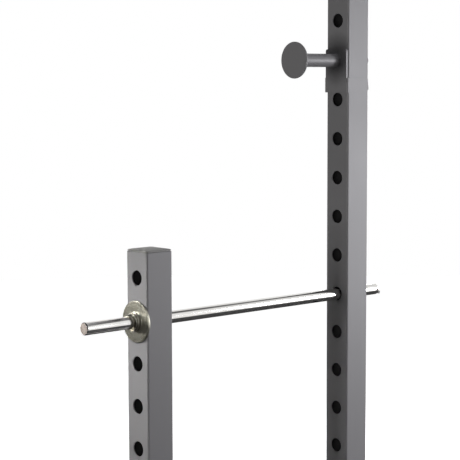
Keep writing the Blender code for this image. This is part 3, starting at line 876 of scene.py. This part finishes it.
class RACK_OT_rails(bpy.types.Operator):
    """Base rails and the beams and bar that cross from side to side."""
    bl_idname = "rack.rails"
    bl_label = "Rails and beams"

    def execute(self, context):
        for side in SIDES:
            node = f"base_rail_{side}"
            place = (centre(node).x, low(node).y, centre(node).z)
            painted(node, moved(self.tube(TUBE, deep(node)), TURN_TO_REAR, place))
        for node in ("rear_lower_beam", "upper_beam", "chin_bar"):
            self.beam(node)
        return {"FINISHED"}

    def tube(self, width, long):
        corner, wall = sizes().corner, sizes().wall
        inner = width - 2 * wall
        loops = [rounded_square(width, corner, 0), rounded_square(width, corner, long),
                 rounded_square(inner, corner - wall, long),
                 rounded_square(inner, corner - wall, 0)]
        return eased(loft(loops, ring=True), sizes().edge / 2)

    def beam(self, node):
        """A beam, its two end plates with round corners, and its weld beads."""
        size = sizes()
        start, stop, middle = low(node), high(node), centre(node)
        inside = stop.x - start.x - size.plate
        if node == "chin_bar":
            outer, wall = 0.016, 0.003
            bar = turned([(outer, 0), (outer, inside), (outer - wall, inside),
                          (outer - wall, 0)], ring=True)
            ring = circle(outer, 0, 48)
        else:
            bar = self.tube(BEAM, inside)
            ring = rounded_square(BEAM, size.corner, 0)
        moved(bar, TURN_ACROSS, (start.x + size.plate / 2, middle.y, middle.z))
        corner, parts, loops = 0.007, [bar], []
        for wall_x, inward in ((start.x, 1), (stop.x, -1)):
            plate = rounded_plate(deep(node) / 2, tall(node) / 2, corner, FROM_SIDE, 0,
                                  inward * size.plate)
            parts.append(moved(plate, (wall_x, middle.y, middle.z)))
            face = Matrix.Translation((wall_x + inward * size.plate, middle.y, middle.z))
            loops.append([face @ TURN_ACROSS @ point for point in ring])
        painted(node, joined(*parts, weld(loops, size.weld)))


class RACK_OT_bolts(bpy.types.Operator):
    """Through bolts with washers and nuts, set out from the frame's bolt nodes."""
    bl_idname = "rack.bolts"
    bl_label = "Bolts"

    def execute(self, context):
        nodes = [node for node in sorted(frame["nodes"]) if "_bolt_" in node]
        marks = []
        for node in nodes:
            out_x = math.copysign(1, centre(node).x)
            outward = UP if tall(node) > wide(node) else Vector((out_x, 0, 0))
            marks.append((end_of(node, outward), -outward))
        metal = grained("black_zinc", colours().bolts, 0.36, metallic=0.85, scale=500.0,
                        variation=0.12, bump=0.00001, edge=0.5, edge_colour=(0.4, 0.4, 0.4))
        mesh = set_out(self.bolt(wide(nodes[0])), marks, metal, twist=2 * math.pi)
        piece("bolts_fine", mesh, ROOT, None, nodes)
        return {"FINISHED"}

    def bolt(self, long):
        """Bolt with its head's top at z = 0, washers, nut and threaded tip, along +Z."""
        head, nut, tip, washer = 0.0064, 0.008, 0.0025, 0.0014
        nut_stop = long - tip
        nut_start = nut_stop - nut
        return joined(self.hexagon(0, head - washer, True), self.washer(head - washer, head),
                      self.washer(nut_start, nut_start + washer),
                      self.hexagon(nut_start + washer, nut_stop, False),
                      self.thread(head, long))

    def hexagon(self, start, stop, top_only):
        """Hexagon with its corners turned off on one or both faces."""
        across, chamfer = 0.017, 0.0012
        corner = across / 2 / math.cos(math.pi / 6)
        outline = [(corner * math.cos(k * math.pi / 3), corner * math.sin(k * math.pi / 3))
                   for k in range(6)]
        over = corner * 1.02
        inset = across / 2 * 0.96
        profile = [(inset, start), (over, start + chamfer), (over, stop - chamfer),
                   (inset, stop)]
        if top_only:
            profile[2:] = [(over, stop)]
        body = prism(outline, FROM_ABOVE, start, stop)
        return smooth(combined(body, ("INTERSECT", turned(profile, 48))), 25)

    def washer(self, start, stop):
        radius, ease = 0.0105, 0.0003
        return turned([(radius - ease, start), (radius, start + ease),
                       (radius, stop - ease), (radius - ease, stop)], 40)

    def thread(self, start, stop):
        """Shank with ridges like a thread near its tip."""
        radius, pitch, depth, threaded = 0.005, 0.0015, 0.0006, 0.014
        profile = [(radius - depth, start)]
        z = stop - threaded
        while z < stop - pitch:
            profile.extend([(radius - depth, z), (radius, z + pitch / 2)])
            z += pitch
        profile.extend([(radius - depth, stop - 0.0006), (radius - depth * 2, stop)])
        return turned(profile, 24)


class RACK_OT_caps_and_feet(bpy.types.Operator):
    """Domed plastic caps in the tube ends and rubber feet under the rails."""
    bl_idname = "rack.caps_and_feet"
    bl_label = "Caps and feet"

    def execute(self, context):
        caps = [node for node in sorted(frame["nodes"]) if "_cap_" in node]
        marks = []
        for node in caps:
            outward = UP if "upright" in node else FRONT if "front" in node else REAR
            marks.append((end_of(node, outward), outward))
        plastic = grained("grey_cap_plastic", colours().plastic, 0.5, scale=2600.0,
                          variation=0.06, bump=0.00003, edge=0.1)
        piece("caps_fine", set_out(self.cap(), marks, plastic), ROOT, None, caps)
        feet = [node for node in sorted(frame["nodes"])
                if node.startswith(("front_foot_", "rear_foot_")) and "bolt" not in node]
        marks = [(Vector((centre(node).x, centre(node).y, 0)), UP) for node in feet]
        rubber = grained("black_rubber", colours().rubber, 0.8, scale=1800.0, variation=0.2,
                         bump=0.00006)
        piece("feet_fine", set_out(self.foot(), marks, rubber), ROOT, None, feet)
        return {"FINISHED"}

    def cap(self):
        """Cap with its crown's top at z = 0: dome, soft rim, seam and skirt."""
        dome, rim, skirt, seam = 0.003, 0.003, 0.018, 0.0024
        corner = sizes().corner + 0.0018
        inner = TUBE - 2 * sizes().wall - 2 * SEAT_GAP
        under = -dome - rim
        rows = [(inner - 0.004, 0.0012, under), (inner - 0.004, 0.0012, under - skirt),
                (inner, 0.0014, under - skirt), (inner, 0.0014, under),
                (TUBE - seam, corner - 0.001, under), (TUBE - seam, corner - 0.001, under + 0.0009),
                (TUBE, corner, under + 0.001), (TUBE, corner, -dome - 0.0008),
                (TUBE - 0.0006, corner, -dome - 0.0003), (TUBE - 0.0018, corner, -dome)]
        for share in (0.88, 0.74, 0.6, 0.45, 0.3, 0.16):
            rise = dome * (1 - share ** 2)
            rows.append((TUBE * share, corner * share, rise - dome))
        return smooth(loft([rounded_square(*row) for row in rows]), 50)

    def foot(self):
        """Round rubber foot with a ribbed tread, standing on z = 0."""
        rim, tall_side = 0.024, 0.014
        profile = [(0.006, 0.0012), (0.0072, 0), (0.0125, 0), (0.0135, 0.0012), (0.0155, 0.0012),
                   (0.0165, 0), (rim - 0.0015, 0), (rim, 0.0015), (rim, 0.0045),
                   (rim - 0.0008, 0.0058), (rim - 0.0012, 0.0105), (rim - 0.0028, tall_side)]
        return turned(profile, 56)


class RACK_OT_rods(bpy.types.Operator):
    """Polished safety rods with the slot of the lock tongue."""
    bl_idname = "rack.rods"
    bl_label = "Safety rods"

    def execute(self, context):
        metal = drawn_chrome("polished_chrome", colours().chrome, 0.09)
        for side in SIDES:
            node, pin = f"safety_rod_{side}", f"tongue_pin_{side}"
            x, stop, pin_y = centre(node).x, high(node).y, centre(pin).y
            profile = round_rims(ROD_DIAMETER / 2, low(node).y, stop, 0.0016, 0.35, 0.4)
            bar = moved(turned(profile, 72), TURN_TO_REAR, (x, 0, ROD_Z))
            half = wide(f"lock_tongue_{side}") / 2 + SEAT_GAP
            slot_start, over, bore_radius = pin_y - 0.0036, 0.02, 0.0023
            outline = rectangle(slot_start, -over, stop + 0.01, over)
            slot = moved(prism(outline, FROM_SIDE, -half, half), (x, 0, ROD_Z))
            bore = moved(turned([(bore_radius, -over), (bore_radius, over)], 32),
                         TURN_ACROSS, (x, pin_y, ROD_Z))
            mesh = smooth(combined(bar, ("DIFFERENCE", slot), ("DIFFERENCE", bore)), 30)
            rod = piece(f"{node}_fine", mesh, f"rod_{side}", metal, [node])
            cut_end = turned_metal(f"turned_end_{side}", (0.56, 0.49, 0.45), 0.42,
                                   (x, 0, ROD_Z), 0.0007, 0.00002)
            rod.data.materials.append(cut_end)
            for face in rod.data.polygons:
                square = abs(face.normal.y) > 0.9
                in_slot = face.center.y > slot_start - 1e-4 and abs(face.normal.x) > 0.99
                if square or in_slot:
                    face.material_index = 1
        return {"FINISHED"}


class RACK_OT_flanges(bpy.types.Operator):
    """Turned stop flanges with stepped hubs."""
    bl_idname = "rack.flanges"
    bl_label = "Rod flanges"

    def execute(self, context):
        thickness, ease, hub, collar, lip, recess = 0.004, 0.0012, 0.018, 0.0168, 0.0016, 0.0045
        bore = ROD_DIAMETER / 2 + SEAT_GAP
        for side in SIDES:
            node = f"rod_flange_{side}"
            middle = Vector((centre(node).x, 0, centre(node).z))
            back, nose = high(node).y, low(node).y
            front, step = back - thickness, nose + 0.0045
            rim = round_rims(wide(node) / 2, front, back, ease, 0.3, 0.3)
            outline = [(bore, back), *reversed(rim),
                       (hub + 0.0012, front), (hub + 0.0003, front - 0.0003),
                       (hub, front - 0.0012), (hub, step + 0.0006), (hub - 0.0006, step),
                       (collar, step), (collar, nose + 0.0008),
                       (collar - 0.0003, nose + 0.0002), (collar - 0.0008, nose),
                       (collar - 0.0013, nose + 0.0002), (collar - lip, nose + 0.0008),
                       (collar - lip, nose + recess), (bore, nose + recess)]
            mesh = smooth(moved(turned(outline, 96, ring=True), TURN_TO_REAR, middle), 50)
            # Painted highlight: edge 1.8 turns the zinc near white along the disc's rim and the hub's
            # edges
            zinc = turned_metal(f"turned_zinc_{side}", colours().zinc, 0.32, middle, 0.0009,
                                0.000012, variation=0.3, edge=1.8)
            piece(f"{node}_fine", mesh, f"rod_{side}", zinc, [node])
        return {"FINISHED"}


class RACK_OT_tongues(bpy.types.Operator):
    """Drop tongues and their cross pins."""
    bl_idname = "rack.tongues"
    bl_label = "Lock tongues"

    def execute(self, context):
        steel = grained("dark_steel", colours().steel, 0.42, metallic=0.7, scale=700.0,
                        variation=0.2, bump=0.00001, edge=0.3, edge_colour=(0.3, 0.3, 0.29))
        droop = math.radians(26)
        half, long, tip, bore_radius, over = 0.003, 0.021, 0.0015, 0.0022, 0.01
        pin_radius, pin_end, ease = 0.002, 0.0015, 0.0004
        outline = filleted(rectangle(-half, -half, long, half),
                           (half * 0.99, tip, tip, half * 0.99), 8)
        for side in SIDES:
            tongue, pin = f"lock_tongue_{side}", f"tongue_pin_{side}"
            half_wide = wide(tongue) / 2
            plate = prism(outline, FROM_SIDE, -half_wide, half_wide)
            bore = turned([(bore_radius, -over), (bore_radius, over)], 32)
            moved(bore, TURN_ACROSS)
            mesh = eased(combined(plate, ("DIFFERENCE", bore)), ease)
            moved(mesh, Matrix.Rotation(-droop, 4, "X"), centre(pin))
            piece(f"{tongue}_fine", mesh, f"tongue_{side}", steel, [tongue])
            reach = wide(pin) / 2
            rod = turned([(pin_end, -reach), (pin_radius, -reach + ease),
                          (pin_radius, reach - ease), (pin_end, reach)], 32)
            moved(rod, TURN_ACROSS, centre(pin))
            piece(f"{pin}_fine", rod, f"rod_{side}", steel, [pin])
        return {"FINISHED"}


class RACK_OT_catches(bpy.types.Operator):
    """Bar catches: plate with low ears, welded peg, end disc and pin."""
    bl_idname = "rack.catches"
    bl_label = "Bar catches"

    def execute(self, context):
        for side in SIDES:
            body = f"catch_{side}"
            middle = Vector((side_x(side), REAR_FACE_Y, PEG_Z))
            place = (TURN_TO_REAR, (middle.x, 0, PEG_Z))
            bracket, peg, disc, pin = (f"catch_{word}_{side}"
                                       for word in ("bracket", "peg", "disc", "pin"))
            painted(bracket, self.bracket(bracket, middle), body)
            radius, bore = tall(peg) / 2, 0.007
            start, stop = low(peg).y, high(peg).y
            mesh = moved(turned([(radius, start), (radius, stop), (bore, stop), (bore, start)],
                                ring=True), *place)
            loops = [[Vector((middle.x + p.x, y, middle.z + p.y)) for p in circle(reach, 0, 40)]
                     for reach, y in ((radius + 0.0004, stop), (radius + 0.0003, start))]
            bead = 0.0016
            painted(peg, joined(mesh, weld(loops, bead)), body)
            profile = round_rims(tall(disc) / 2, low(disc).y, high(disc).y, 0.0012, 0.3, 0.3)
            painted(disc, moved(turned(profile, 96), *place), body)
            painted(pin, moved(self.pin(pin), *place), body)
        return {"FINISHED"}

    def pin(self, node):
        """Round pin through the upright with a domed nose behind it."""
        radius, nose, steps = tall(node) / 2, 0.005, 8
        profile = [(radius, low(node).y)]
        for k in range(steps):
            turn = k * math.pi / 2 / steps
            profile.append((radius * math.cos(turn),
                            high(node).y - nose * (1 - math.sin(turn))))
        return turned(profile)

    def bracket(self, node, middle):
        """Flat front plate with round top corners, and low ears folded round the tube."""
        start, stop = low(node) - middle, high(node) - middle
        plate_half, plate_back, ear_plate, inset = 0.029, 0.002, 0.002, 0.0003
        bore_radius, edge = 0.0128, 0.0005
        outer, inner = stop.x, stop.x - ear_plate
        front, rear = start.y, stop.y
        ear_low, ear_top = start.z + inset, start.z + 0.030
        fold = filleted(rectangle(-outer, front + inset, outer, rear + 0.01),
                        (0.003, 0.003, 0, 0))
        wrap = prism(fold, FROM_ABOVE, start.z - 0.01, ear_top + 0.01)
        ear = filleted([(front - 0.01, ear_low), (rear - 0.010, ear_low),
                        (rear, start.z + 0.006), (rear - 0.003, ear_top),
                        (front - 0.01, ear_top)], (0, 0.004, 0.002, 0.003, 0))
        trim = prism(ear, FROM_SIDE, -0.1, 0.1)
        face = filleted(rectangle(-plate_half, start.z, plate_half, stop.z),
                        (0.001, 0.001, 0.004, 0.004))
        plate = prism(face, FROM_FRONT, front, plate_back)
        channel = prism(rectangle(-inner, -SEAT_GAP, inner, 0.2), FROM_ABOVE, -0.2, 0.2)
        bore = moved(turned([(bore_radius, -0.02), (bore_radius, 0.01)]), TURN_TO_REAR)
        mesh = combined(wrap, ("INTERSECT", trim), ("UNION", plate),
                        ("DIFFERENCE", channel), ("DIFFERENCE", bore))
        return moved(eased(mesh, edge), middle)


OPERATORS = (RACK_OT_stage, RACK_OT_uprights, RACK_OT_rails, RACK_OT_bolts,
             RACK_OT_caps_and_feet, RACK_OT_rods, RACK_OT_flanges, RACK_OT_tongues,
             RACK_OT_catches)


class RACK_PT_panel(bpy.types.Panel):
    """Sizes, colours and the operators that build each group of pieces."""
    bl_idname = "RACK_PT_panel"
    bl_label = "Power Rack"
    bl_space_type = "VIEW_3D"
    bl_region_type = "UI"
    bl_category = "Rack"

    def draw(self, context):
        layout = self.layout
        for settings in (context.scene.rack_sizes, context.scene.rack_colours):
            box = layout.box()
            for key in settings.__annotations__:
                box.prop(settings, key)
        for operator in OPERATORS:
            layout.operator(operator.bl_idname)


CLASSES = (RackSizes, RackColours, *OPERATORS, RACK_PT_panel)


def register():
    for cls in CLASSES:
        bpy.utils.register_class(cls)
    bpy.types.Scene.rack_sizes = bpy.props.PointerProperty(type=RackSizes)
    bpy.types.Scene.rack_colours = bpy.props.PointerProperty(type=RackColours)


def unregister():
    del bpy.types.Scene.rack_colours
    del bpy.types.Scene.rack_sizes
    for cls in reversed(CLASSES):
        bpy.utils.unregister_class(cls)


def main():
    register()
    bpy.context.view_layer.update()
    for operator in OPERATORS:
        group, name = operator.bl_idname.split(".")
        getattr(getattr(bpy.ops, group), name)()


if __name__ == "__main__":
    main()
